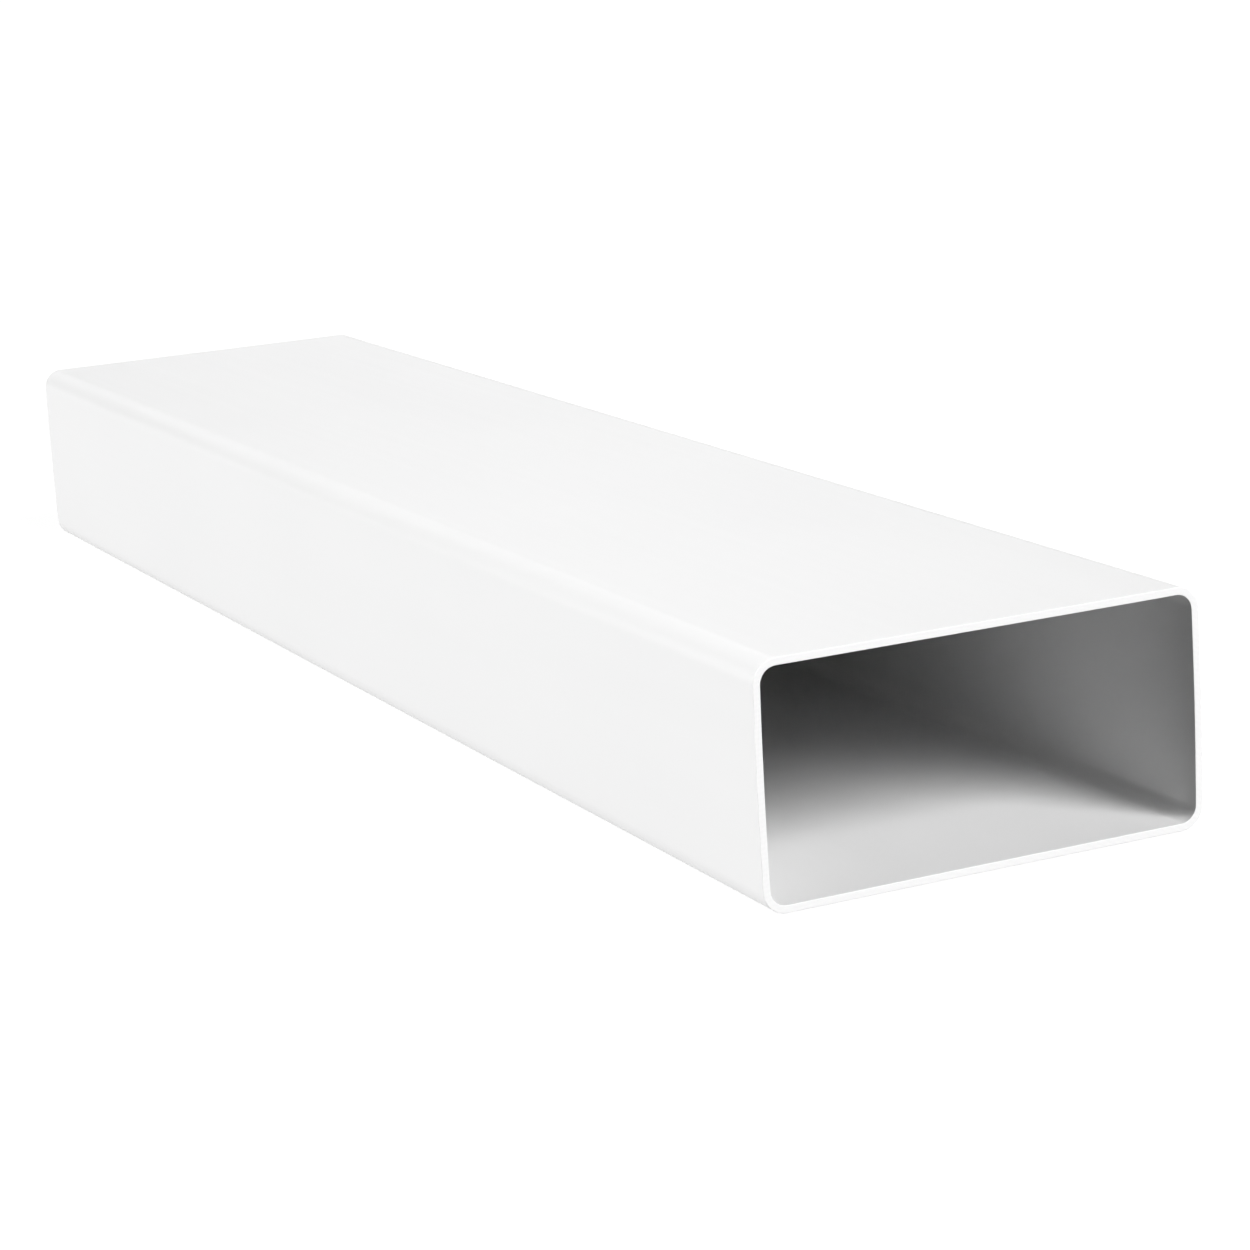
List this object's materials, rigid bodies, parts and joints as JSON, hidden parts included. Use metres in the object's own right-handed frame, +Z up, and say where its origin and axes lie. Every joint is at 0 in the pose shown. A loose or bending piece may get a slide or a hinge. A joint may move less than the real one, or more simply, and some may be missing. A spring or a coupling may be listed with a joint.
{
  "type": "flat channel duct",
  "caption": "Straight length of white plastic flat channel duct: thin-walled rectangular tube with rounded corners, open at both square-cut ends, carries ventilation air.",
  "frame": {"origin": "middle of the underside, on the floor that the duct lies on", "axes": "+X along the length towards the end that the picture looks into, +Y across the width, +Z up through the wide top wall"},
  "size_m": [0.5, 0.11, 0.055],
  "materials": {
    "white_upvc": "satin"
  },
  "bodies": {
    "root": {"flat_channel_duct": "white_upvc"}
  },
  "joints": []
}
